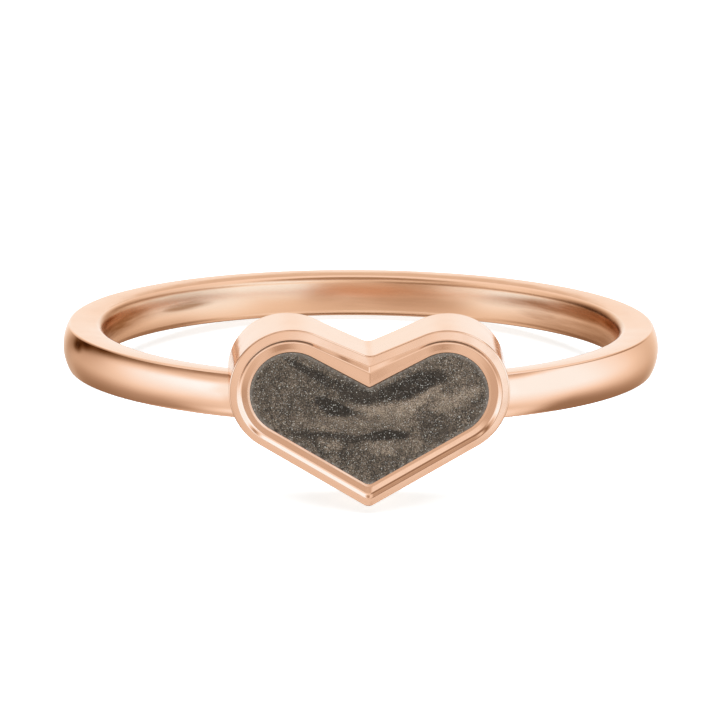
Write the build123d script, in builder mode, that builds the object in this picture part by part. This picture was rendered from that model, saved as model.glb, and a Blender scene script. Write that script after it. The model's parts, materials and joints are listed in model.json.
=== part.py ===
"""Heart ring: a slim D-shaped shank with a heart cup at the front, filled with a resin inlay.

Millimetres, +Z up, in the pose in which the ring rests on a table. It lies on its side on the tip
of the heart and on the far edge of the shank, so the ring's own plane leans by a small angle.
The heart faces -Y. The origin is the middle of the footprint box, on the table.
"""
import os
from math import asin, atan2, cos, degrees, hypot, sin, sqrt

from build123d import *

os.makedirs("parts", exist_ok=True)

# Shank: a flat-sided band with a crowned outer face
bore_diameter = 17.3      # finger hole
shank_wall = 1.4          # from the finger hole to the top of the crown
shank_width = 1.5         # along the finger
crown_rise = 0.2          # top of the crown above the shank's outer corners
comfort_round = 0.28      # inner edges of the shank
edge_round = 0.12         # outer corners of the shank, and the back edge of the cup

# Heart: two round lobes with straight sides to the tip and to the cleft
cup_depth = 2.7           # from the finger hole to the face of the heart
lobe_radius = 2.05
lobe_spacing = 5.04       # between the centres of the two lobes
lobe_height = 0.62        # lobe centres above the middle of the shank
tip_drop = 3.22           # sharp tip below the middle of the shank
cleft_height = 1.78       # sharp cleft above the middle of the shank
tip_round = 0.3
cleft_round = 0.5
face_round = 0.1          # outer edge of the face

# Cup: the stepped rim of the heart and the pocket behind it
rim_land = 0.3            # flat rim around the face
rim_drop = 0.05           # the edges inside the land sit lower than the outer edge
step_width = 0.11         # bright bevel inside the land
step_depth = 0.09
step_dip = 0.04           # the bevel reaches lower than the land at the cleft
flange_width = 0.28       # sloping collar from the bevel to the inlay
flange_depth = 0.06       # fall of the collar
inlay_dip = 0.14          # collar and inlay reach lower than the land at the cleft
inner_tip_round = 0.3
inner_cleft_round = 0.1
floor_wall = 1.1          # metal between the pocket and the finger hole

# Inlay: resin, a hair smaller than its pocket
inlay_gap = 0.02
inlay_dome = 0.12         # middle of the inlay above its edge

bore_radius = bore_diameter / 2
crown_radius = bore_radius + shank_wall
face_distance = bore_radius + cup_depth
pocket_depth = cup_depth - floor_wall
corner_radius = crown_radius - crown_rise
half_width = shank_width / 2


def touch_point(lobe, vertex, side):
    """Where the straight side from a vertex on the middle line touches a lobe, and its angle.

    The side runs under the lobe where side is -1, and over it where side is 1.
    """
    run = lobe_spacing / 2
    rise = lobe_height - vertex
    reach = hypot(run, rise)
    angle = atan2(rise, run) + side * asin(lobe / reach)
    length = sqrt(reach**2 - lobe**2)
    return (length * cos(angle), vertex + length * sin(angle)), angle


lower_slope = touch_point(lobe_radius, -tip_drop, -1)[1]
upper_slope = touch_point(lobe_radius, cleft_height, 1)[1]


def heart_outline(inset, dip, tip_fillet, cleft_fillet):
    """Draw the heart in the running sketch, moved inwards by inset, with its cleft lowered by dip."""
    lobe = lobe_radius - inset
    tip = -tip_drop + inset / cos(lower_slope)
    cleft = cleft_height - inset / cos(upper_slope) - dip
    lower_touch = touch_point(lobe, tip, -1)[0]
    upper_touch = touch_point(lobe, cleft, 1)[0]
    with BuildLine(Plane.XY) as outline:
        Line((0, tip), lower_touch)
        ThreePointArc(lower_touch, (lobe_spacing / 2 + lobe, lobe_height), upper_touch)
        Line(upper_touch, (0, cleft))
        mirror(about=Plane.YZ)
    make_face(outline.line)
    middle = vertices().sort_by(lambda corner: abs(corner.X))[:2].sort_by(Axis.Y)
    fillet(middle[0], tip_fillet)
    middle = vertices().sort_by(lambda corner: abs(corner.X))[0]
    fillet(middle, cleft_fillet)


def face_outline():
    """The outer edge of the heart."""
    heart_outline(0, 0, tip_round, cleft_round)


def rim_outline(inset, dip):
    """One of the edges inside the land of the rim."""
    heart_outline(inset, dip, inner_tip_round, inner_cleft_round)


# Resting pose: the rounded tip and the rounded far corner of the shank share one table plane
arc_radius = (half_width**2 + crown_rise**2) / (2 * crown_rise)
arc_centre = crown_radius - arc_radius
far_corner = arc_centre + sqrt((arc_radius - edge_round)**2 - (half_width - edge_round)**2)
tip_low = -tip_drop + tip_round * (1 / cos(lower_slope) - 1)
near_corner = -(bore_radius + edge_round)
lean = atan2((edge_round - half_width) - (tip_low + edge_round), far_corner - near_corner)

front_reach = (face_distance - face_round) * cos(lean) - (tip_low + face_round) * sin(lean) + face_round
back_reach = arc_centre * cos(lean) + arc_radius
ring_centre = (
    0,
    (front_reach - back_reach) / 2,
    edge_round - near_corner * -sin(lean) - (tip_low + edge_round) * cos(lean),
)
ring_plane = Plane(origin=ring_centre, x_dir=(1, 0, 0), z_dir=(0, sin(lean), cos(lean)))
face_plane = Plane(
    origin=ring_plane.from_local_coords(Vector(0, -face_distance, 0)),
    x_dir=(1, 0, 0),
    z_dir=-ring_plane.y_dir,
)

rim_plane = Plane(
    origin=face_plane.from_local_coords(Vector(0, -rim_drop, 0)),
    x_dir=face_plane.x_dir,
    z_dir=face_plane.z_dir,
)
step_inset = rim_land + step_width
inlay_inset = step_inset + flange_width
inlay_depth = step_depth + flange_depth

with BuildPart() as shank:
    # Half section on the ring's own X-Z plane, turned about the ring's axis
    with BuildSketch(Plane(origin=ring_centre, x_dir=ring_plane.x_dir, z_dir=-ring_plane.y_dir)):
        with BuildLine():
            Line((corner_radius, -half_width), (bore_radius, -half_width))
            Line((bore_radius, -half_width), (bore_radius, half_width))
            Line((bore_radius, half_width), (corner_radius, half_width))
            ThreePointArc((corner_radius, half_width), (crown_radius, 0), (corner_radius, -half_width))
        make_face()
        fillet(vertices().group_by(Axis.X)[0], comfort_round)
        fillet(vertices().group_by(Axis.X)[-1], edge_round)
    revolve(axis=Axis(ring_plane.origin, ring_plane.z_dir))

with BuildPart() as ring_body:
    # The cup runs back from the face and stops flush with the finger hole
    with BuildSketch(face_plane):
        face_outline()
    extrude(amount=-face_distance)
    with BuildSketch(ring_plane.offset(-face_distance)):
        Circle(bore_radius)
    extrude(amount=2 * face_distance, mode=Mode.SUBTRACT)
    back = faces().filter_by(GeomType.CYLINDER).sort_by(Axis.Y)[-1]
    fillet(back.edges(), edge_round)
    face = faces().sort_by(Axis(face_plane.origin, face_plane.z_dir))[-1]
    fillet(face.edges(), face_round)
    add(shank.part)

    # Stepped rim: a steep bevel, then a sloping collar down to the inlay
    with BuildSketch(rim_plane):
        rim_outline(rim_land, 0)
    with BuildSketch(rim_plane.offset(-step_depth)):
        rim_outline(step_inset, step_dip)
    loft(ruled=True, mode=Mode.SUBTRACT)
    with BuildSketch(rim_plane.offset(-step_depth)):
        rim_outline(step_inset, step_dip)
    with BuildSketch(rim_plane.offset(-inlay_depth)):
        rim_outline(inlay_inset, inlay_dip)
    loft(ruled=True, mode=Mode.SUBTRACT)
    with BuildSketch(rim_plane.offset(-inlay_depth)):
        rim_outline(inlay_inset, inlay_dip)
    extrude(amount=inlay_depth - pocket_depth, mode=Mode.SUBTRACT)

ring_body.part.label = "ring_body"
export_step(ring_body.part, "parts/ring_body.step")

# The dome is a shallow slice of a ball that falls by inlay_dome from the middle to the lobes' sides
inlay_reach = lobe_spacing / 2 + lobe_radius - inlay_inset - inlay_gap
dome_radius = (inlay_reach**2 + inlay_dome**2) / (2 * inlay_dome)
dome_centre = rim_plane.from_local_coords(Vector(0, 0, inlay_dome - inlay_depth - dome_radius))

with BuildPart() as heart_inlay:
    with BuildSketch(rim_plane.offset(inlay_gap - pocket_depth)):
        rim_outline(inlay_inset + inlay_gap, inlay_dip)
    extrude(amount=pocket_depth)
    with Locations(dome_centre):
        Sphere(dome_radius, mode=Mode.INTERSECT)

heart_inlay.part.label = "heart_inlay"
export_step(heart_inlay.part, "parts/heart_inlay.step")

print("lean of the ring's plane, degrees:", round(degrees(lean), 4))
print("centre of the finger hole:", [round(value, 5) for value in ring_plane.origin])
print("axis of the finger hole:", [round(value, 7) for value in ring_plane.z_dir])
print("wall of the finger hole at the cup, lowest:", round(tip_low + edge_round, 4))
print("wall of the finger hole at the cup, highest:", round(lobe_height + lobe_radius - edge_round, 4))
print("volume of metal and resin:", round(ring_body.part.volume, 3), round(heart_inlay.part.volume, 3))
print("box:", ring_body.part.bounding_box())
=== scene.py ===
"""Heart ring: the finish of the polished metal and of the glitter resin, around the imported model.

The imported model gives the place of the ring: the centre and the axis of its finger hole. The ring lies
on its side, so its own plane leans a little. Each piece is shaped upright in millimetres with the finger
hole on the Z axis and the heart towards -Y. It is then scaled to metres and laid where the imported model
lies.
"""
import json
from collections import namedtuple
from math import asin, atan2, cos, hypot, pi, radians, sin, sqrt

import bmesh
import bpy
from bpy.props import FloatProperty, FloatVectorProperty, PointerProperty
from mathutils import Matrix, Vector
from mathutils.kdtree import KDTree


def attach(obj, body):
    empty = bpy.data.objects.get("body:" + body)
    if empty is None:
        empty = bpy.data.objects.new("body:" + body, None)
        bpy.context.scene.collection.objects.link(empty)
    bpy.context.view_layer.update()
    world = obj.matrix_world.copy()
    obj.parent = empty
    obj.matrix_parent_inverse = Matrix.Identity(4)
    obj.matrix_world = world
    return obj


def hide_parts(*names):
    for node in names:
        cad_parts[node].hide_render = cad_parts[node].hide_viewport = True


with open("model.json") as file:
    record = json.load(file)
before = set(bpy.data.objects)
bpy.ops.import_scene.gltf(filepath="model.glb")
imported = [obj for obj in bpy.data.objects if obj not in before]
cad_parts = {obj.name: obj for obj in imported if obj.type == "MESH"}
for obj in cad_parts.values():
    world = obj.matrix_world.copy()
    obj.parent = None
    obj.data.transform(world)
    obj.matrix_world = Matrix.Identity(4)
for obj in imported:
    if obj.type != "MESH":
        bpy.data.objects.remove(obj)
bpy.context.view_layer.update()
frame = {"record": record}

bl_info = {
    "name": "Heart ring",
    "version": (1, 0, 0),
    "blender": (4, 5, 0),
    "location": "3D View > Sidebar > Heart ring",
    "description": "Shapes and finishes a heart ring with a resin inlay",
    "category": "Add Mesh",
}

FINGER_HOLE = frame["record"]["mounts"][0]
RING_CENTRE = Vector(FINGER_HOLE["pos_m"])
RING_AXIS = Vector(FINGER_HOLE["axis"]).normalized()
LEAN = atan2(RING_AXIS.y, RING_AXIS.z)
MILLIMETRE = 0.001


# Sizes that a user would change

def length(name, description, millimetres):
    size = millimetres * MILLIMETRE
    return FloatProperty(name=name, description=description, default=size, unit="LENGTH", subtype="DISTANCE")


def angle(name, description, value):
    return FloatProperty(name=name, description=description, default=radians(value), subtype="ANGLE")


def share(name, description, value):
    return FloatProperty(
        name=name, description=description, default=value, min=0.0, max=1.0, subtype="FACTOR"
    )


def colour(name, description, value):
    return FloatVectorProperty(name=name, description=description, default=value, size=3, subtype="COLOR")


class ShankSizes(bpy.types.PropertyGroup):
    bore_radius: length("Finger hole", "Radius of the finger hole", FINGER_HOLE["dims"]["r_mm"])
    wall: length("Wall", "From the finger hole to the top of the crown", 1.397)
    width: length("Width", "Width of the shank along the finger", 1.5)
    crown_rise: length("Crown", "Top of the crown above the outer corners", 0.2)
    side_radius: length("Side radius", "Slight crown of the two sides", 7.0)
    comfort_radius: length("Comfort radius", "Crown of the inner wall across its width", 2.4)
    comfort_round: length("Comfort round", "Rounding of the inner edges", 0.3)
    corner_round: length("Corner round", "Rounding of the outer corners", 0.12)


class HeartSizes(bpy.types.PropertyGroup):
    cup_depth: length("Cup depth", "From the finger hole to the face of the heart", 2.7)
    lobe_radius: length("Lobe radius", "Radius of the two round lobes", 2.05)
    lobe_spacing: length("Lobe spacing", "Between the centres of the lobes", 5.04)
    lobe_height: length("Lobe height", "Lobe centres above the middle of the shank", 0.62)
    tip_drop: length("Tip drop", "Sharp tip below the middle of the shank", 3.22)
    cleft_height: length("Cleft height", "Sharp cleft above the middle of the shank", 1.78)
    tip_round: length("Tip round", "Rounding of the tip", 0.3)
    cleft_round: length("Cleft round", "Rounding of the cleft", 0.5)
    back_round: length("Back round", "Rounding of the cup's edge at the finger hole", 0.12)


class InlaySizes(bpy.types.PropertyGroup):
    floor_wall: length("Floor", "Metal between the pocket and the finger hole", 1.1)
    gap: length("Gap", "Between the resin and the wall of its pocket", 0.008)
    dome: length("Dome", "Middle of the resin above its edge", 0.1)


class RingFinish(bpy.types.PropertyGroup):
    gold_colour: colour("Gold", "Colour of the polished metal", (0.92, 0.60, 0.43))
    # The dull gold is the colour of painted shade and dark reflections on the inner wall.
    gold_painted_shade: colour("Dull gold", "Colour of the less polished places on the inner wall", (0.23, 0.09, 0.04))
    gold_edge: colour("Gold edge", "Tint of the metal seen along its surface", (0.97, 0.85, 0.74))
    gold_roughness: share("Polish", "Roughness of the polished metal", 0.1)
    inner_tint: colour("Inner tint", "Warmer tint of the metal on the inner wall", (1.0, 0.965, 0.89))
    inner_roughness: share("Inner polish", "Roughness of the inner wall", 0.27)
    resin_colour: colour("Resin", "Mean colour of the resin", (0.100, 0.0735, 0.052))
    resin_dark: colour("Resin dark", "Colour of the dark strokes in the resin", (0.020, 0.014, 0.009))
    resin_border: colour("Resin border", "Colour of the thin resin along the metal", (0.24, 0.20, 0.165))
    speck_colour: colour("Specks", "Colour of the glitter", (0.75, 0.70, 0.62))


class CameraSetup(bpy.types.PropertyGroup):
    distance: length("Distance", "From the camera to the centre of the ring", 281.0)
    turn: angle("Turn", "Camera to the left of the heart", 1.5)
    height: angle("Height", "Camera above the plane of the ring", 10.993)
    roll: angle("Roll", "Roll of the camera", 0.447)


# Outline of the heart, in millimetres, upright in the X-Z plane

# One edge of the heart: how far it lies inside the outline and behind the face, how far all of it and its
# cleft alone are lowered, and the rounding of its tip and cleft
HeartEdge = namedtuple("HeartEdge", "inset depth drop dip tip_round cleft_round")

TIP_STEPS = 8
LOBE_STEPS = 72
CLEFT_STEPS = 8
STRAIGHT_CUTS = 9
HEART_POINTS = 2 * (TIP_STEPS + LOBE_STEPS + CLEFT_STEPS + 2 * (STRAIGHT_CUTS + 1))
SAME_PLACE = 1e-4    # points nearer than this, in millimetres, are merged


def mm(value):
    """A size of a property group, in millimetres."""
    return value / MILLIMETRE


def touch_point(heart, lobe, vertex, side):
    """Where the straight side from a vertex on the middle line touches a lobe, and its angle.

    The side runs under the lobe where side is -1, and over it where side is 1.
    """
    run = mm(heart.lobe_spacing) / 2
    rise = mm(heart.lobe_height) - vertex
    reach = hypot(run, rise)
    direction = atan2(rise, run) + side * asin(lobe / reach)
    straight = sqrt(reach**2 - lobe**2)
    return Vector((straight * cos(direction), 0, vertex + straight * sin(direction))), direction


# Modelling steps

def only(obj):
    """Leave one object selected and active."""
    bpy.ops.object.select_all(action="DESELECT")
    obj.select_set(True)
    bpy.context.view_layer.objects.active = obj


def to_edit():
    bpy.ops.object.mode_set(mode="EDIT")


def to_object():
    bpy.ops.object.mode_set(mode="OBJECT")


def start_point(name, place):
    """A new object with one point, in edit mode."""
    bpy.ops.object.select_all(action="DESELECT")
    bpy.ops.mesh.primitive_plane_add(size=1)
    obj = bpy.context.object
    obj.name = name
    to_edit()
    bpy.ops.mesh.select_mode(type="VERT")
    bpy.ops.mesh.merge(type="CENTER")
    bpy.ops.transform.translate(value=place)
    return obj


def spin_arc(centre, sweep, steps):
    """Spin the selected point about a centre in its X-Z plane, from +X towards +Z."""
    bpy.ops.mesh.spin(steps=steps, angle=sweep, center=centre, axis=(0, 1, 0))


def extrude_to(obj, place):
    """Extrude the selected point in a straight line to a place."""
    mesh = bmesh.from_edit_mesh(obj.data)
    start = next(vertex.co.copy() for vertex in mesh.verts if vertex.select)
    bpy.ops.mesh.extrude_region_move(TRANSFORM_OT_translate={"value": place - start})


def select_where(obj, kind, test):
    """Select the points or the edges that a test accepts, and nothing else."""
    bpy.ops.mesh.select_all(action="DESELECT")
    bpy.ops.mesh.select_mode(type=kind)
    mesh = bmesh.from_edit_mesh(obj.data)
    for element in mesh.verts if kind == "VERT" else mesh.edges:
        if test(element):
            element.select_set(True)
    mesh.select_flush_mode()
    bmesh.update_edit_mesh(obj.data)


def select_points(obj, numbers):
    select_where(obj, "VERT", lambda point: point.index in numbers)


def apply_modifier(obj, kind, **settings):
    """Add a modifier, set it and apply it."""
    only(obj)
    modifier = obj.modifiers.new(kind.title(), kind)
    for name, value in settings.items():
        setattr(modifier, name, value)
    bpy.ops.object.modifier_apply(modifier=modifier.name)


def heart_loop(heart, edge, face_place):
    """One closed edge of the heart: half of it drawn by spins and extrusions, then mirrored."""
    level = Vector((0, face_place + edge.depth, -edge.drop))
    outer_low = touch_point(heart, mm(heart.lobe_radius), -mm(heart.tip_drop), -1)[1]
    outer_high = touch_point(heart, mm(heart.lobe_radius), mm(heart.cleft_height), 1)[1]
    lobe = mm(heart.lobe_radius) - edge.inset
    tip = -mm(heart.tip_drop) + edge.inset / cos(outer_low)
    cleft = mm(heart.cleft_height) - edge.inset / cos(outer_high) - edge.dip
    low_touch, low_slope = touch_point(heart, lobe, tip, -1)
    high_touch, high_slope = touch_point(heart, lobe, cleft, 1)
    tip_centre = Vector((0, 0, tip + edge.tip_round / cos(low_slope)))
    lobe_centre = Vector((mm(heart.lobe_spacing) / 2, 0, mm(heart.lobe_height)))
    cleft_centre = Vector((0, 0, cleft + edge.cleft_round / cos(high_slope)))
    cleft_start = cleft_centre + edge.cleft_round * Vector((sin(high_slope), 0, -cos(high_slope)))

    obj = start_point("heart_loop", level + tip_centre - Vector((0, 0, edge.tip_round)))
    spin_arc(level + tip_centre, low_slope, TIP_STEPS)
    extrude_to(obj, level + low_touch)
    spin_arc(level + lobe_centre, pi + high_slope - low_slope, LOBE_STEPS)
    extrude_to(obj, level + cleft_start)
    spin_arc(level + cleft_centre, -high_slope, CLEFT_STEPS)
    longest_step = 2 * mm(heart.lobe_radius) / LOBE_STEPS * pi
    select_where(obj, "EDGE", lambda line: line.calc_length() > longest_step)
    bpy.ops.mesh.subdivide(number_cuts=STRAIGHT_CUTS)
    to_object()
    apply_modifier(obj, "MIRROR", use_mirror_merge=True, merge_threshold=SAME_PLACE)
    return obj


def join_objects(objects, name):
    bpy.ops.object.select_all(action="DESELECT")
    for obj in objects:
        obj.select_set(True)
    bpy.context.view_layer.objects.active = objects[0]
    bpy.ops.object.join()
    joined = bpy.context.object
    joined.name = name
    return joined


def bridge_loops(obj, count):
    """Bridge each loop of the heart to the next. A loop's points follow each other in the list."""
    to_edit()
    for first in range(count - 1):
        select_points(obj, range(first * HEART_POINTS, (first + 2) * HEART_POINTS))
        bpy.ops.mesh.bridge_edge_loops()


def fill_loop(obj, number):
    """Fill one loop of the heart with a face."""
    select_points(obj, range(number * HEART_POINTS, (number + 1) * HEART_POINTS))
    bpy.ops.mesh.edge_face_add()


def outward(obj):
    """Turn all faces outwards and leave edit mode."""
    bpy.ops.mesh.select_all(action="SELECT")
    bpy.ops.mesh.normals_make_consistent(inside=False)
    to_object()


def lay_down(obj, name):
    """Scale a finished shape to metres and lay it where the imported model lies."""
    only(obj)
    obj.name = name
    obj.data.name = name
    obj.scale = (MILLIMETRE,) * 3
    obj.rotation_euler = (-LEAN, 0, 0)
    obj.location = RING_CENTRE
    bpy.ops.object.transform_apply(location=True, rotation=True, scale=True)


FLAT_WEIGHT = 60     # over 50, a large face keeps its own normal beside the narrow ones of a rounded edge
SAME_AREA = 0.003    # faces whose areas differ by less, in square millimetres, count the same


def smooth(obj, sharp_angle):
    """Shade smooth up to an angle, with flat faces kept flat. This needs the shape in millimetres."""
    only(obj)
    bpy.ops.object.shade_smooth_by_angle(angle=radians(sharp_angle))
    apply_modifier(obj, "WEIGHTED_NORMAL", keep_sharp=True, weight=FLAT_WEIGHT, thresh=SAME_AREA)


# Metal: the cup with its stepped rim, and the shank

# Edges of the rim, in millimetres: inset, depth, drop and dip
OUTER_EDGE = (0.004, 0.008, 0, 0)
INNER_EDGES = {
    "land": (0.27, 0, 0.05, -0.02),
    "step": (0.38, 0.10, 0.05, 0.10),
    "groove": (0.59, 0.132, 0.07, 0.19),
    "pocket": (0.69, 0.139, 0.075, 0.22),
}
INNER_ROUNDS = (0.3, 0.1)    # at the tip and at the cleft
RIM_ROUNDS = {"outer": 0.055, "land": 0.025, "step": 0.045, "groove": 0.03, "pocket": 0.012}
ROUND_SEGMENTS = 4
OVER_FACE = -1.0             # blocks that cut or fill the pocket start this far in front of the face

BACK_STEPS = 5
BACK_TURN = radians(72)
BACK_STANDS_OUT = 0.004      # the cup's back covers the shank's inner wall by this much

SHANK_STEPS = 288
SECTION_STEPS = (12, 6, 5, 9, 8)    # crown, corner, side, inner edge and inner wall
POCKET_ROOM = HeartEdge(0.35, 0, 0.05, 0, *INNER_ROUNDS)    # the shank is cut away inside this edge
ROOM_BELOW = 0.1             # and this far under the floor of the pocket

METAL_SHARP = 32             # degrees between two faces that keep a sharp edge


def rim_edges(heart):
    """The edges of the cup from its outer edge inwards to the pocket."""
    edges = {"outer": HeartEdge(*OUTER_EDGE, mm(heart.tip_round), mm(heart.cleft_round))}
    for name, place in INNER_EDGES.items():
        edges[name] = HeartEdge(*place, *INNER_ROUNDS)
    return edges


def cup_places(heart, shank, inlay):
    """Where the face of the heart lies on the Y axis, and how deep the pocket is behind it."""
    cup_depth = mm(heart.cup_depth)
    return -mm(shank.bore_radius) - cup_depth, cup_depth - mm(inlay.floor_wall)


def heart_block(heart, edge, face_place, depths, name):
    """A closed block with the outline of one edge of the heart, between two depths."""
    loops = [heart_loop(heart, edge._replace(depth=depth), face_place) for depth in depths]
    block = join_objects(loops, name)
    bridge_loops(block, 2)
    fill_loop(block, 0)
    fill_loop(block, 1)
    outward(block)
    return block


def back_loop(heart, inset, radius):
    """An edge of the cup's back: the outline of the heart, laid on a cylinder about the ring's axis."""
    edge = HeartEdge(inset, 0, 0, 0, mm(heart.tip_round), mm(heart.cleft_round))
    loop = heart_loop(heart, edge, 0)
    for point in loop.data.vertices:
        point.co.y = -sqrt(radius**2 - point.co.x**2)
    return loop


def make_cup(heart, shank, inlay):
    """The heart cup: loops from the finger hole over the rim to the floor of the pocket."""
    face_place, pocket_depth = cup_places(heart, shank, inlay)
    bore = mm(shank.bore_radius)
    round_size = mm(heart.back_round)
    loops = [back_loop(heart, round_size * (1 - cos(BACK_TURN)), bore - round_size)]
    for step in range(BACK_STEPS, -1, -1):
        turn = step / BACK_STEPS * BACK_TURN
        loops.append(back_loop(heart, round_size * (1 - cos(turn)), bore + round_size * (1 - sin(turn))))
    first_rim = len(loops)
    rim = rim_edges(heart)
    loops += [heart_loop(heart, edge, face_place) for edge in rim.values()]
    loops.append(heart_loop(heart, rim["pocket"]._replace(depth=pocket_depth), face_place))
    cup = join_objects(loops, "heart_cup")
    bridge_loops(cup, len(loops))
    fill_loop(cup, 0)
    fill_loop(cup, len(loops) - 1)
    outward(cup)

    rounds = cup.data.attributes.new("bevel_weight_edge", "FLOAT", "EDGE").data
    widest = max(RIM_ROUNDS.values())
    for line in cup.data.edges:
        first, second = (point // HEART_POINTS for point in line.vertices)
        if first == second and 0 <= first - first_rim < len(rim):
            name = list(rim)[first - first_rim]
            rounds[line.index].value = RIM_ROUNDS[name] / widest
    apply_modifier(
        cup, "BEVEL", width=widest, segments=ROUND_SEGMENTS, limit_method="WEIGHT", use_clamp_overlap=False
    )
    return cup


def between_arcs(first, first_radius, second, second_radius, size, side):
    """Centre of a small round that touches two arcs from inside. It is on the given side in X."""
    near, far = first_radius - size, second_radius - size
    apart = second - first
    gap = apart.length
    along = (near**2 - far**2 + gap**2) / (2 * gap)
    across = sqrt(near**2 - along**2) * Vector((-apart.z, 0, apart.x)) / gap
    places = [first + apart * along / gap + turn * across for turn in (-1, 1)]
    return max(places, key=lambda place: side * place.x)


def bearing(centre, place):
    return atan2(place.z - centre.z, place.x - centre.x)


def make_shank(heart, shank, inlay):
    """The shank: half its section drawn by five arcs, mirrored and spun about the ring's axis."""
    bore = mm(shank.bore_radius)
    crown = bore + mm(shank.wall)
    half = mm(shank.width) / 2
    rise = mm(shank.crown_rise)
    side_radius, comfort_radius = mm(shank.side_radius), mm(shank.comfort_radius)
    corner, comfort = mm(shank.corner_round), mm(shank.comfort_round)
    crown_radius = (half**2 + rise**2) / (2 * rise)
    crown_centre = Vector((crown - crown_radius, 0, 0))
    side_centre = Vector((crown - rise - corner, 0, half - side_radius))
    bore_centre = Vector((bore + comfort_radius, 0, 0))
    corner_centre = between_arcs(crown_centre, crown_radius, side_centre, side_radius, corner, 1)
    comfort_centre = between_arcs(side_centre, side_radius, bore_centre, comfort_radius, comfort, -1)
    turns = (
        0,
        bearing(crown_centre, corner_centre),
        bearing(side_centre, corner_centre),
        bearing(side_centre, comfort_centre),
        bearing(bore_centre, comfort_centre),
        pi,
    )
    centres = (crown_centre, corner_centre, side_centre, comfort_centre, bore_centre)
    obj = start_point("shank", Vector((crown, 0, 0)))
    for centre, start, end, steps in zip(centres, turns, turns[1:], SECTION_STEPS):
        spin_arc(centre, end - start, steps)
    to_object()
    apply_modifier(obj, "MIRROR", use_axis=(False, False, True), merge_threshold=SAME_PLACE)
    to_edit()
    bpy.ops.mesh.select_all(action="SELECT")
    bpy.ops.mesh.spin(steps=SHANK_STEPS, angle=2 * pi, center=(0, 0, 0), axis=(0, 0, 1))
    bpy.ops.mesh.select_all(action="SELECT")
    bpy.ops.mesh.remove_doubles(threshold=SAME_PLACE)
    outward(obj)
    face_place, pocket_depth = cup_places(heart, shank, inlay)
    depths = (OVER_FACE, pocket_depth + ROOM_BELOW)
    combine(obj, heart_block(heart, POCKET_ROOM, face_place, depths, "pocket_room"), "DIFFERENCE")
    return obj


def combine(obj, other, operation):
    """Join or cut one shape with another, which is then removed."""
    apply_modifier(obj, "BOOLEAN", operation=operation, object=other, solver="MANIFOLD")
    bpy.data.objects.remove(other)


def bore_cutter(shank):
    """A cylinder that cuts the cup's back to the finger hole."""
    bore = mm(shank.bore_radius)
    bpy.ops.object.select_all(action="DESELECT")
    bpy.ops.mesh.primitive_cylinder_add(vertices=SHANK_STEPS, radius=bore - BACK_STANDS_OUT, depth=2 * bore)
    return bpy.context.object


class HEARTRING_OT_metal(bpy.types.Operator):
    """Shape the shank and the heart cup as one piece of polished metal"""
    bl_idname = "heartring.metal"
    bl_label = "Metal"

    def execute(self, context):
        scene = context.scene
        sizes = (scene.heart_sizes, scene.shank_sizes, scene.inlay_sizes)
        cup = make_cup(*sizes)
        combine(cup, bore_cutter(scene.shank_sizes), "DIFFERENCE")
        combine(cup, make_shank(*sizes), "UNION")
        smooth(cup, METAL_SHARP)
        lay_down(cup, "ring_metal")
        cup.data.materials.clear()
        cup.data.materials.append(polished_gold(scene.ring_finish))
        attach(cup, "root")
        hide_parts("ring_body")
        return {"FINISHED"}


# Resin: a low dome with brushed strokes

RESIN_CELLS = 200      # cells of the grid along each side
RESIN_REACH = 4.2      # half the side of the grid
RESIN_BLOCK = 4.0      # thickness of the block that is cut to the pocket's outline
RESIN_SHARP = 40       # degrees between two faces that keep a sharp edge
FROM_EDGE = "from_edge"


def make_resin(heart, shank, inlay):
    """The resin: a fine grid raised to a dome, cut to the outline of the pocket."""
    face_place, pocket_depth = cup_places(heart, shank, inlay)
    pocket = rim_edges(heart)["pocket"]
    edge = pocket._replace(inset=pocket.inset + mm(inlay.gap))
    depths = (pocket_depth - mm(inlay.gap), OVER_FACE)
    block = heart_block(heart, edge, face_place, depths, "resin_block")

    reach = mm(heart.lobe_spacing) / 2 + mm(heart.lobe_radius) - edge.inset
    dome = mm(inlay.dome)
    dome_radius = (reach**2 + dome**2) / (2 * dome)
    bpy.ops.object.select_all(action="DESELECT")
    cells = {"x_subdivisions": RESIN_CELLS, "y_subdivisions": RESIN_CELLS}
    bpy.ops.mesh.primitive_grid_add(**cells, size=2 * RESIN_REACH, rotation=(pi / 2, 0, 0))
    sheet = bpy.context.object
    bpy.ops.object.transform_apply(rotation=True)
    for point in sheet.data.vertices:
        fall = point.co.x**2 + (point.co.z + edge.drop) ** 2
        point.co.y = face_place + edge.depth - dome + dome_radius - sqrt(dome_radius**2 - fall)
    apply_modifier(sheet, "SOLIDIFY", thickness=RESIN_BLOCK, offset=-1.0)
    combine(block, sheet, "INTERSECT")
    return block


def mark_border(resin, heart):
    """Keep how far each point of the resin is from the pocket's outline, in millimetres."""
    outline = heart_loop(heart, rim_edges(heart)["pocket"]._replace(depth=0), 0)
    lines = KDTree(len(outline.data.vertices))
    for point in outline.data.vertices:
        lines.insert((point.co.x, 0, point.co.z), point.index)
    lines.balance()
    away = resin.data.attributes.new(FROM_EDGE, "FLOAT", "POINT").data
    for point in resin.data.vertices:
        away[point.index].value = lines.find((point.co.x, 0, point.co.z))[2]
    bpy.data.objects.remove(outline)


class HEARTRING_OT_resin(bpy.types.Operator):
    """Shape the resin that fills the heart"""
    bl_idname = "heartring.resin"
    bl_label = "Resin"

    def execute(self, context):
        scene = context.scene
        resin = make_resin(scene.heart_sizes, scene.shank_sizes, scene.inlay_sizes)
        mark_border(resin, scene.heart_sizes)
        smooth(resin, RESIN_SHARP)
        lay_down(resin, "resin_heart")
        resin.data.materials.clear()
        resin.data.materials.append(glitter_resin(scene.ring_finish))
        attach(resin, "root")
        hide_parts("heart_inlay")
        return {"FINISHED"}


# Materials

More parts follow.
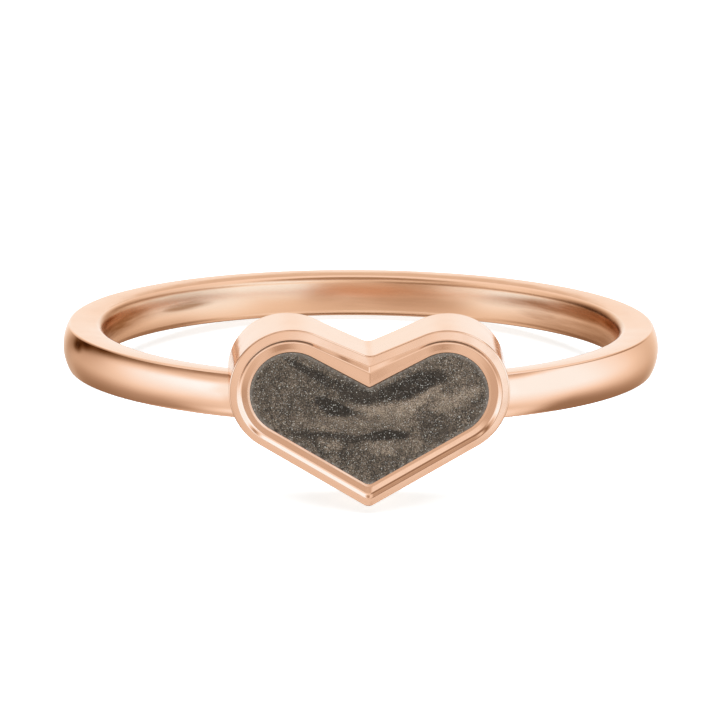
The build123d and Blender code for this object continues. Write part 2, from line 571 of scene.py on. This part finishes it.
class NodeTree:
    """Adds nodes to a tree. A value for a socket is a plain value or another node's output."""

    def __init__(self, tree):
        self.tree = tree

    def node(self, kind, inputs, **settings):
        node = self.tree.nodes.new("ShaderNode" + kind)
        for name, value in settings.items():
            setattr(node, name, value)
        for name, value in inputs.items():
            self.feed(node.inputs[name], value)
        return node

    def feed(self, socket, value):
        if isinstance(value, bpy.types.NodeSocket):
            self.tree.links.new(value, socket)
        else:
            socket.default_value = value

    def math(self, operation, *values):
        return self.node("Math", dict(enumerate(values)), operation=operation).outputs[0]

    def ease(self, value, low, high, start=0.0, end=1.0):
        """A soft step from start to end while the value goes from low to high."""
        limits = {"Value": value, "From Min": low, "From Max": high, "To Min": start, "To Max": end}
        return self.node("MapRange", limits, interpolation_type="SMOOTHSTEP").outputs["Result"]

    def blend(self, share, first, second):
        """Two numbers blended by a share."""
        return self.node("Mix", {0: share, 2: first, 3: second}, data_type="FLOAT").outputs[0]

    def tint(self, share, first, second, blend="MIX"):
        """Two colours blended by a share."""
        inputs = {0: share, 6: first, 7: second}
        return self.node("Mix", inputs, data_type="RGBA", blend_type=blend).outputs[2]

    def ramp(self, value, shades):
        """A colour for each number, blended between the given places and colours."""
        ramp = self.node("ValToRGB", {"Fac": value})
        stops = ramp.color_ramp.elements
        while len(stops) < len(shades):
            stops.new(0.5)
        for stop, (place, shade) in zip(stops, shades):
            stop.position = place
            stop.color = (*shade, 1)
        return ramp.outputs["Color"]

    def noise(self, place, scale, detail, roughness):
        settings = {"Vector": place, "Scale": scale, "Detail": detail, "Roughness": roughness}
        return self.node("TexNoise", settings).outputs[0]

    def bump(self, height, strength, distance, normal=None):
        """A relief, on top of another one if its normal is given."""
        bump = self.node("Bump", {"Height": height, "Strength": strength, "Distance": distance})
        if normal is not None:
            self.feed(bump.inputs["Normal"], normal)
        return bump.outputs[0]

    def varied(self, place, noise, amount):
        """A number that a noise moves up and down about zero."""
        return self.math("MULTIPLY", self.math("SUBTRACT", self.noise(place, *noise), 0.5), amount)


def new_material(name):
    """A material, its node tree and shader, and the place upright about the ring's centre, in millimetres."""
    material = bpy.data.materials.new(name)
    material.use_nodes = True
    nodes = NodeTree(material.node_tree)
    shader = material.node_tree.nodes["Principled BSDF"]
    upright = {
        "Vector": nodes.node("TexCoord", {}).outputs["Object"],
        "Location": RING_CENTRE,
        "Rotation": (-LEAN, 0, 0),
        "Scale": (MILLIMETRE,) * 3,
    }
    return material, nodes, shader, nodes.node("Mapping", upright, vector_type="TEXTURE").outputs[0]


# Each noise has its scale per millimetre, its detail and its roughness
SMEARS = (1.6, 4.0, 0.6)
SCRATCHES = (1.0, 2.0, 0.7)
WAVES = (0.55, 1.0, 0.4)
WALL_STREAKS = (1.0, 4.0, 0.6)

SMEAR_NOISE = (0.3, 0.75)            # this much of the noise goes from more to less polished
SMEAR_POLISH = (0.6, 1.5)            # shares of the metal's roughness there
STREAK_NOISE = (0.3, 0.7)            # this much of the noise goes from weak to full painted shade
WEAKEST_STREAK = 0.55
STREAK_SCALE = (0.35, 5.0)           # along the inner wall and across it
SCRATCH_SCALE = (22, 22, 90)
SCRATCH_TURN = (0.3, 0.2, 0.1)
SCRATCH_BUMP = (0.03, 0.00001)       # strength, and depth in metres
WAVE_BUMP = (0.25, 0.00006)
HALF_PAINTED_SHADE = 0.45                     # share of painted shade at which the metal is halfway to its shade colour

# Painted shade and dark reflections on the inner wall: the middle, measured along the wall from the back and
# above the shank's middle, the half length and half width in millimetres, the turn, bend and softness, and
# how dark
PAINTED_SHADE_PLACES = (
    ((9.9, 0.34), 3.4, 0.20, 2, 0.0, 0.9, 0.62),
    ((7.2, -0.12), 0.8, 0.16, 0, 0.0, 0.9, 0.30),
    ((9.8, -0.30), 2.6, 0.30, 0, 0.0, 0.9, 0.30),
    ((-11.6, 0.20), 2.8, 0.32, 0, 0.0, 0.9, 0.60),
    ((-6.6, 0.10), 0.9, 0.12, 0, 0.0, 0.9, 0.50),
    ((-7.6, 0.40), 1.9, 0.34, 0, 0.0, 0.9, 0.28),
    ((1.2, 0.10), 2.0, 0.40, 0, 0.0, 0.9, 0.15),
)
INNER_WALL = (8.72, 8.95)    # distance from the axis, in millimetres, where the inner wall ends


def inner_wall(nodes, x, y, z):
    """Where the inner wall is, and how much painted shade it has at each place, streaked around the ring."""
    squares = nodes.math("ADD", nodes.math("MULTIPLY", x, x), nodes.math("MULTIPLY", y, y))
    distance = nodes.math("SQRT", squares)
    around = nodes.math("MULTIPLY", nodes.math("ARCTAN2", x, y), FINGER_HOLE["dims"]["r_mm"])
    scaled = [nodes.math("MULTIPLY", *pair) for pair in zip((around, z), STREAK_SCALE)]
    along = nodes.node("CombineXYZ", dict(enumerate(scaled))).outputs[0]
    streaks = nodes.ease(nodes.noise(along, *WALL_STREAKS), *STREAK_NOISE, WEAKEST_STREAK, 1.0)
    # The painted shade is the darkest of the listed places at each point, broken into streaks round the ring.
    painted_shade = 0.0
    for middle, half_length, half_width, turn, bend, soft, depth in PAINTED_SHADE_PLACES:
        share = stroke_share(nodes, around, z, middle, half_length, half_width, turn, bend, soft)
        painted_shade = nodes.math("MAXIMUM", painted_shade, nodes.math("MULTIPLY", share, depth))
    inside = nodes.ease(distance, *INNER_WALL, 1.0, 0.0)
    return inside, nodes.math("MULTIPLY", nodes.math("MULTIPLY", painted_shade, streaks), inside)


def polished_gold(finish):
    """Rose gold: fine scratches from polishing, slight waves, a rougher inner wall with painted shade."""
    material, nodes, shader, place = new_material("polished_rose_gold")
    inside, painted_shade = inner_wall(nodes, *nodes.node("SeparateXYZ", {0: place}).outputs)
    # The inner wall's colour runs from the gold to the colour of the painted shade.
    half_shade_colour = [sqrt(bright * dark) for bright, dark in zip(finish.gold_colour, finish.gold_painted_shade)]
    shades = ((0.0, finish.gold_colour), (HALF_PAINTED_SHADE, half_shade_colour), (1.0, finish.gold_painted_shade))
    gold = nodes.tint(inside, nodes.ramp(painted_shade, shades), (*finish.inner_tint, 1), "MULTIPLY")
    nodes.feed(shader.inputs["Base Color"], gold)
    shader.inputs["Metallic"].default_value = 1
    # The painted shade also darkens the tint of the metal seen along its surface.
    edge_tint = nodes.tint(painted_shade, (*finish.gold_edge, 1), (*finish.gold_painted_shade, 1))
    nodes.feed(shader.inputs["Specular Tint"], edge_tint)
    polish = [finish.gold_roughness * part for part in SMEAR_POLISH]
    roughness = nodes.ease(nodes.noise(place, *SMEARS), *SMEAR_NOISE, *polish)
    nodes.feed(shader.inputs["Roughness"], nodes.blend(inside, roughness, finish.inner_roughness))

    grain = nodes.node("Mapping", {"Vector": place, "Scale": SCRATCH_SCALE, "Rotation": SCRATCH_TURN})
    normal = nodes.bump(nodes.noise(grain.outputs[0], *SCRATCHES), *SCRATCH_BUMP)
    normal = nodes.bump(nodes.noise(place, *WAVES), *WAVE_BUMP, normal)
    nodes.feed(shader.inputs["Normal"], normal)
    return material


# Tones of the resin go from -TONE_REACH, dark, to TONE_REACH, light. Each shade has its place between the
# two, from 0 to 1, and its share of the resin's mean colour
TONE_REACH = 1.5
RESIN_LIGHTS = ((0.24, 0.38), (0.48, 0.86), (0.62, 1.45), (0.80, 2.7), (1.0, 4.2))

# Noises in the resin, and how much each moves the tone
WOBBLE, WOBBLE_AMOUNT = (1.4, 3.0, 0.6), 0.5    # moves the strokes' edges, in millimetres
WOBBLE_UP = -0.7                                # share of the wobble that moves them up
CLOUDS, CLOUD_AMOUNT = (1.0, 3.0, 0.6), 1.5
MOTTLE, MOTTLE_AMOUNT = (5.0, 3.0, 0.65), 1.8
GRAIN, GRAIN_AMOUNT = (26.0, 2.0, 0.7), 5.0

GRAIN_GLOSS = (-0.7, 0.7, 0.35, 0.5)    # the grain's range, and the roughness from its start to its end
RESIN_SPECULAR = 0.2
RESIN_BUMP = (0.3, 0.00002)
BORDER_WIDTH = 0.16                     # in millimetres
BORDER_STRENGTH = 0.8

# Glitter in the resin: flecks per millimetre, the size of a fleck, how rare and how bright it is
GLITTER = (
    (26.0, 0.44, 0.74, 0.50),
    (18.0, 0.38, 0.88, 0.65),
    (12.0, 0.30, 0.95, 0.80),
)
FLECK_CORE = 0.4                        # share of a fleck that is fully bright

# Strokes in the resin: the middle, the half length, the half width and the turn, in millimetres and
# degrees on the face of the heart, the bend, the softness of the edge, and how dark or light it is
RESIN_STROKES = (
    ((-1.45, 1.00), 1.20, 0.13, -27, 0.02, 0.5, -0.95),
    ((-0.20, 0.42), 0.75, 0.20, -14, 0.10, 0.7, -0.80),
    ((1.20, 0.74), 1.20, 0.32, 27, -0.10, 0.5, -1.0),
    ((-1.20, 0.10), 0.68, 0.22, -24, 0.12, 0.25, -1.2),
    ((-0.35, -0.12), 0.60, 0.08, 2, 0.25, 0.3, -1.1),
    ((0.45, -0.82), 0.72, 0.17, 6, -0.06, 0.3, -1.2),
    ((-1.15, -0.90), 1.25, 0.13, -4, 0.05, 0.6, -0.75),
    ((-1.60, -1.15), 0.15, 0.35, 20, 0.0, 0.6, -0.6),
    ((-0.90, -1.20), 0.15, 0.40, 15, 0.0, 0.6, -0.6),
    ((2.05, -0.45), 0.30, 0.50, 10, 0.0, 0.9, -0.35),
    ((0.60, 0.02), 0.75, 0.22, 8, 0.08, 0.8, 0.8),
    ((1.65, 0.36), 0.70, 0.16, 36, -0.10, 0.8, 0.8),
    ((2.75, 0.40), 0.75, 0.22, 20, 0.0, 0.9, 0.75),
    ((0.45, -1.25), 0.50, 0.18, -8, 0.0, 0.9, 0.5),
    ((-1.25, -1.15), 0.30, 0.18, -10, 0.0, 0.9, 0.45),
    ((-0.90, -0.45), 1.20, 0.22, 3, 0.06, 0.9, 0.35),
)


def stroke_share(nodes, across, up, middle, half_length, half_width, turn, bend, soft):
    """Where a bent brush stroke lies: 1 inside, 0 outside."""
    right = nodes.math("SUBTRACT", across, middle[0])
    above = nodes.math("SUBTRACT", up, middle[1])
    cosine, sine = cos(radians(turn)), sin(radians(turn))
    along = nodes.math("ADD", nodes.math("MULTIPLY", right, cosine), nodes.math("MULTIPLY", above, sine))
    aside = nodes.math("SUBTRACT", nodes.math("MULTIPLY", above, cosine), nodes.math("MULTIPLY", right, sine))
    curve = nodes.math("MULTIPLY", nodes.math("MULTIPLY", along, along), bend)
    aside = nodes.math("DIVIDE", nodes.math("SUBTRACT", aside, curve), half_width)
    along = nodes.math("DIVIDE", along, half_length)
    reach = nodes.math("ADD", nodes.math("MULTIPLY", along, along), nodes.math("MULTIPLY", aside, aside))
    return nodes.ease(nodes.math("SQRT", reach), 1 - soft / 2, 1 + soft, 1.0, 0.0)


def glitter_resin(finish):
    """Dark resin with brushed strokes, a fine grain and glitter of three sizes."""
    material, nodes, shader, place = new_material("glitter_resin")
    x, _, z = nodes.node("SeparateXYZ", {0: place}).outputs
    drift = nodes.varied(place, WOBBLE, WOBBLE_AMOUNT)
    across = nodes.math("ADD", x, drift)
    up = nodes.math("ADD", z, nodes.math("MULTIPLY", drift, WOBBLE_UP))

    tone = nodes.varied(place, CLOUDS, CLOUD_AMOUNT)
    mottle = nodes.varied(place, MOTTLE, MOTTLE_AMOUNT)
    grain = nodes.varied(place, GRAIN, GRAIN_AMOUNT)
    for middle, half_length, half_width, turn, bend, soft, depth in RESIN_STROKES:
        share = stroke_share(nodes, across, up, middle, half_length, half_width, turn, bend, soft)
        tone = nodes.blend(share, tone, depth)
    tone = nodes.math("ADD", nodes.math("ADD", tone, mottle), grain)
    shades = [(0.0, finish.resin_dark)]
    for where, gain in RESIN_LIGHTS:
        shades.append((where, [channel * gain for channel in finish.resin_colour]))
    colour = nodes.ramp(nodes.math("ADD", nodes.math("DIVIDE", tone, 2 * TONE_REACH), 0.5), shades)
    from_edge = nodes.node("Attribute", {}, attribute_name=FROM_EDGE).outputs["Fac"]
    border = nodes.ease(from_edge, 0.0, BORDER_WIDTH, BORDER_STRENGTH, 0.0)
    colour = nodes.tint(border, colour, (*finish.resin_border, 1))
    for scale, size, rarity, strength in GLITTER:
        cells = nodes.node("TexVoronoi", {"Vector": place, "Scale": scale}, voronoi_dimensions="3D")
        spark = nodes.ease(cells.outputs["Distance"], size * FLECK_CORE, size, strength, 0.0)
        pick = nodes.node("SeparateXYZ", {0: cells.outputs["Color"]}).outputs[0]
        spark = nodes.math("MULTIPLY", spark, nodes.math("GREATER_THAN", pick, rarity))
        colour = nodes.tint(spark, colour, (*finish.speck_colour, 1))
    nodes.feed(shader.inputs["Base Color"], colour)
    nodes.feed(shader.inputs["Roughness"], nodes.ease(grain, *GRAIN_GLOSS))
    shader.inputs["Specular IOR Level"].default_value = RESIN_SPECULAR
    nodes.feed(shader.inputs["Normal"], nodes.bump(tone, *RESIN_BUMP))
    return material


# Studio: camera, floor and light

IMAGE_SIZE = 720
FOCAL_PIXELS = 8316.4              # focal length of the fitted camera, in pixels of the photograph
RING_PIXEL = (360.766, 344.215)    # the ring's centre in the photograph
SENSOR = 36.0

FLOOR_SIZE = 4
FLOOR_PAPER = (0.05, 4.0, 0.5)     # noise between the two floor colours
FLOOR_COLOURS = ((0.82, 0.87, 0.93, 1), (0.86, 0.91, 0.97, 1))
FLOOR_ROUGHNESS = 0.6
FLOOR_GLOW = 0.72                  # the floor is lit from below, which keeps the shadows faint
FLOOR_TINT = (0.885, 0.975, 1.0, 1)    # cool, against the warm light that the metal throws into its shadow

OVERHEAD_SIZE = 1.2
OVERHEAD_POWER = 9
OVERHEAD_HEIGHT = 0.6


def add_camera(setup):
    """The camera at the photograph's angle to the ring."""
    side = Vector((1, 0, 0))
    away = RING_AXIS.cross(side)
    back = (
        -side * sin(setup.turn) * cos(setup.height)
        - away * cos(setup.turn) * cos(setup.height)
        + RING_AXIS * sin(setup.height)
    )
    level = (-back).cross(RING_AXIS).normalized()
    upright = level.cross(-back)
    right = level * cos(setup.roll) + upright * sin(setup.roll)
    up = upright * cos(setup.roll) - level * sin(setup.roll)
    eye = RING_CENTRE + back * setup.distance
    middle = IMAGE_SIZE / 2
    pixel = setup.distance / FOCAL_PIXELS
    aim = RING_CENTRE + right * (middle - RING_PIXEL[0]) * pixel - up * (middle - RING_PIXEL[1]) * pixel
    ahead = (aim - eye).normalized()
    right = (right - ahead * right.dot(ahead)).normalized()
    up = right.cross(ahead)

    camera = bpy.data.cameras.new("camera")
    camera.sensor_width = SENSOR
    camera.lens = FOCAL_PIXELS / IMAGE_SIZE * SENSOR
    camera.clip_start = 0.01
    camera.clip_end = 10
    holder = bpy.data.objects.new("camera", camera)
    bpy.context.scene.collection.objects.link(holder)
    placed = Matrix((right, up, -ahead)).transposed().to_4x4()
    placed.translation = eye
    holder.matrix_world = placed
    bpy.context.scene.camera = holder


def add_floor():
    """A plain white floor. It is left out of the metal's reflections."""
    bpy.ops.object.select_all(action="DESELECT")
    bpy.ops.mesh.primitive_plane_add(size=FLOOR_SIZE)
    floor = bpy.context.object
    floor.name = "floor"
    material, nodes, shader, place = new_material("white_floor")
    nodes.feed(shader.inputs["Base Color"], nodes.tint(nodes.noise(place, *FLOOR_PAPER), *FLOOR_COLOURS))
    shader.inputs["Roughness"].default_value = FLOOR_ROUGHNESS
    shader.inputs["Specular IOR Level"].default_value = 0
    shader.inputs["Emission Color"].default_value = FLOOR_TINT
    shader.inputs["Emission Strength"].default_value = FLOOR_GLOW
    floor.data.materials.append(material)
    floor.visible_glossy = False


def add_overhead_light():
    """Soft light on the floor and the resin. It is left out of the reflections."""
    light = bpy.data.lights.new("overhead", "AREA")
    light.shape = "DISK"
    light.size = OVERHEAD_SIZE
    light.energy = OVERHEAD_POWER
    holder = bpy.data.objects.new("overhead", light)
    holder.location = (0, 0, OVERHEAD_HEIGHT)
    holder.visible_glossy = False
    bpy.context.scene.collection.objects.link(holder)


# Tones of the studio, as the metal shows them, and the light that gives each tone on rose gold
TONE_COLOURS = (
    (0.10, (0.045, 0.014, 0.002)),
    (0.20, (0.13, 0.055, 0.017)),
    (0.32, (0.215, 0.138, 0.083)),
    (0.435, (0.36, 0.265, 0.193)),
    (0.55, (0.54, 0.437, 0.356)),
    (0.66, (0.754, 0.662, 0.58)),
    (0.785, (1.0, 0.963, 0.923)),
    (0.85, (1.07, 1.157, 1.24)),
    (0.905, (1.08, 1.33, 1.56)),
    (0.96, (1.1, 1.56, 2.0)),
)
BRIGHTEST = 2.0

# Cards and reflectors around the ring, in degrees: the tone, the shape and its place. A patch has its start,
# end and softness in turn and in height. A spot has its turn, height, reach and softness
SIDE_CARDS = (
    (0.94, "patch", (20, 60, 3), (-3, 28, 4)),
    (0.88, "patch", (-60, -38, 5), (-3, 28, 5)),
    (0.42, "patch", (-56, -12, 7), (24, 50, 7)),
    (0.95, "patch", (26, 92, 8), (42, 60, 6)),
)
REFLECTORS = (
    (0.04, "spot", -130, 14, 5, 6),
    (0.03, "spot", -138, 4, 4, 5),
    (0.02, "spot", -144, -4, 4, 4),
    (0.88, "spot", 180, 0, 25, 15),
    (0.84, "spot", 178, 8, 5, 4),
    (0.68, "spot", 178.2, 14, 5.3, 1.2),
    (0.73, "patch", (-10, 13, 3), (-24, -9, 3)),
    (0.81, "spot", -9, 12, 5, 3),
    (0.60, "spot", -1.5, 12, 2.2, 1.5),
    (0.76, "spot", 1, -3, 6, 3),
    (0.57, "spot", 18, -3, 5, 4),
    (0.89, "patch", (2.2, 9, 1.2), (-6.5, 4, 1.5)),
    (0.53, "spot", 4, -18, 3.4, 2),
    (0.57, "spot", 3.5, -12.5, 1.6, 1),
    (0.55, "spot", -71, 55, 8, 6),
    (0.78, "spot", -30, 68, 6, 4),
    (0.90, "spot", 22, -60, 3.5, 2),
    (0.45, "spot", -33, -58, 3, 2),
)


class StudioLight(NodeTree):
    """The tone of the studio around the ring, painted in soft areas.

    Directions from the ring have a turn from the front, to the right, and a height, in degrees.
    """

    def __init__(self, tree):
        super().__init__(tree)
        self.direction = self.node("TexCoord", {}).outputs["Generated"]
        x, y, z = self.node("SeparateXYZ", {0: self.direction}).outputs
        self.height = self.math("DEGREES", self.math("ARCSINE", z))
        self.turn = self.math("DEGREES", self.math("ARCTAN2", x, self.math("MULTIPLY", y, -1.0)))
        self.tone = 0.0

    def rise(self, value, place, soft):
        return self.ease(value, place - soft, place + soft)

    def fall(self, value, place, soft):
        return self.ease(value, place - soft, place + soft, 1.0, 0.0)

    def band(self, value, low, high, soft):
        return self.math("MULTIPLY", self.rise(value, low, soft), self.fall(value, high, soft))

    def patch(self, turn_span, height_span):
        """An area between two turns and two heights."""
        return self.math("MULTIPLY", self.band(self.turn, *turn_span), self.band(self.height, *height_span))

    def lean_with(self, towards):
        """The cosine of the angle between the direction and another one."""
        both = {0: self.direction, 1: towards}
        return self.node("VectorMath", both, operation="DOT_PRODUCT").outputs["Value"]

    def spot(self, turn, height, reach, soft):
        """A round area."""
        turn, height = radians(turn), radians(height)
        towards = (sin(turn) * cos(height), -cos(turn) * cos(height), sin(height))
        away = self.math("DEGREES", self.math("ARCCOSINE", self.lean_with(towards)))
        return self.fall(away, reach, soft)

    def over_edge(self, turn, height):
        """The angle above a straight edge that is highest at a turn and height."""
        turn, height = radians(turn), radians(height)
        towards = (-sin(turn) * sin(height), cos(turn) * sin(height), cos(height))
        return self.math("DEGREES", self.math("ARCSINE", self.lean_with(towards)))

    def paint(self, tone, *areas):
        """Bring the studio to a tone where all the areas meet."""
        share = areas[0]
        for area in areas[1:]:
            share = self.math("MULTIPLY", share, area)
        self.tone = self.blend(share, self.tone, tone)

    def paint_areas(self, areas):
        """Paint a list of patches and spots in order."""
        shapes = {"patch": self.patch, "spot": self.spot}
        for tone, shape, *place in areas:
            self.paint(tone, shapes[shape](*place))


def paint_studio(light):
    """The table, the room above, two large soft boxes at the sides and the reflectors around the ring."""
    turn, height = light.turn, light.height
    front = light.band(turn, -65, 65, 30)

    # The table, from the far edge to the part under the ring
    light.tone = light.ease(height, -35, -13, 0.42, 0.63)
    light.paint(0.62, front, light.fall(height, 5, 8))
    light.paint(0.76, light.band(turn, 20, 80, 12), light.fall(height, 0, 5))
    light.paint(0.70, front, light.fall(height, -27, 7))
    light.paint(0.86, light.band(turn, -70, 70, 20), light.fall(height, -38, 5))
    light.paint(0.74, light.spot(18, -46, 8, 4))
    light.paint(0.64, light.fall(turn, -16, 6), light.fall(height, -48, 4))
    light.paint(0.70, light.fall(height, -54, 4))
    light.paint(0.36, light.fall(height, -71, 4))

    # The room: a light ceiling, darker overhead, a dark corner behind the left box, and the wall in front
    light.paint(0.80, light.rise(height, 26, 5))
    light.paint(0.46, light.rise(height, 66, 6))
    light.paint(0.12, light.spot(-132, 17.6, 6, 30))
    light.paint(0.62, front, light.band(height, 0, 26, 7))
    light.paint(0.70, light.band(turn, -8, 8, 8), light.band(height, 14, 58, 8))

    # The soft box at the left, brighter towards the front, and the one at the right
    light.paint(
        light.ease(turn, -110, -55, 0.91, 0.97),
        light.fall(light.over_edge(-51.5, 21.6), 0, 9),
        light.rise(height, -23, 35),
        light.rise(turn, -116, 28),
        light.fall(turn, -50, 8),
    )
    light.paint(
        0.925,
        light.fall(light.over_edge(89.5, 50), 0, 24),
        light.rise(height, -21, 19),
        light.rise(turn, 50, 8),
        light.fall(turn, 129, 38),
    )
    light.paint_areas(SIDE_CARDS)

    # The dark top edges of the two boxes
    light.paint(0.12, light.band(light.over_edge(-52.4, 37.5), -3.2, 3.2, 8), light.fall(turn, -52, 34))
    light.paint(0.26, light.band(light.over_edge(78, 38), -3.5, 3.5, 10), light.rise(turn, 62, 15))
    light.paint_areas(REFLECTORS)


def add_studio_reflections():
    """The painted studio, which only the metal and the resin reflect. It throws no light on dull surfaces."""
    world = bpy.data.worlds.new("studio")
    bpy.context.scene.world = world
    world.use_nodes = True
    light = StudioLight(world.node_tree)
    paint_studio(light)
    shades = [(tone, [channel / BRIGHTEST for channel in shade]) for tone, shade in TONE_COLOURS]
    background = world.node_tree.nodes["Background"]
    light.feed(background.inputs["Color"], light.ramp(light.tone, shades))
    background.inputs["Strength"].default_value = BRIGHTEST
    world.cycles_visibility.diffuse = False


class HEARTRING_OT_studio(bpy.types.Operator):
    """Set up the camera, the floor and the soft light"""
    bl_idname = "heartring.studio"
    bl_label = "Studio"

    def execute(self, context):
        add_camera(context.scene.camera_setup)
        add_floor()
        add_overhead_light()
        add_studio_reflections()
        context.scene.view_settings.view_transform = "Standard"
        return {"FINISHED"}


class HEARTRING_PT_panel(bpy.types.Panel):
    """The ring's steps and sizes"""
    bl_label = "Heart ring"
    bl_idname = "HEARTRING_PT_panel"
    bl_space_type = "VIEW_3D"
    bl_region_type = "UI"
    bl_category = "Heart ring"

    def draw(self, context):
        for step in STEPS:
            self.layout.operator(step.bl_idname)
        for name, group in SETTINGS.items():
            box = self.layout.box()
            for field in group.__annotations__:
                box.prop(getattr(context.scene, name), field)


SETTINGS = {
    "shank_sizes": ShankSizes,
    "heart_sizes": HeartSizes,
    "inlay_sizes": InlaySizes,
    "ring_finish": RingFinish,
    "camera_setup": CameraSetup,
}
STEPS = (HEARTRING_OT_studio, HEARTRING_OT_metal, HEARTRING_OT_resin)


def register():
    for group in (*SETTINGS.values(), *STEPS, HEARTRING_PT_panel):
        bpy.utils.register_class(group)
    for name, group in SETTINGS.items():
        setattr(bpy.types.Scene, name, PointerProperty(type=group))


def unregister():
    for name in SETTINGS:
        delattr(bpy.types.Scene, name)
    for group in reversed((*SETTINGS.values(), *STEPS, HEARTRING_PT_panel)):
        bpy.utils.unregister_class(group)


def main():
    register()
    bpy.ops.heartring.studio()
    bpy.ops.heartring.metal()
    bpy.ops.heartring.resin()


if __name__ == "__main__":
    main()
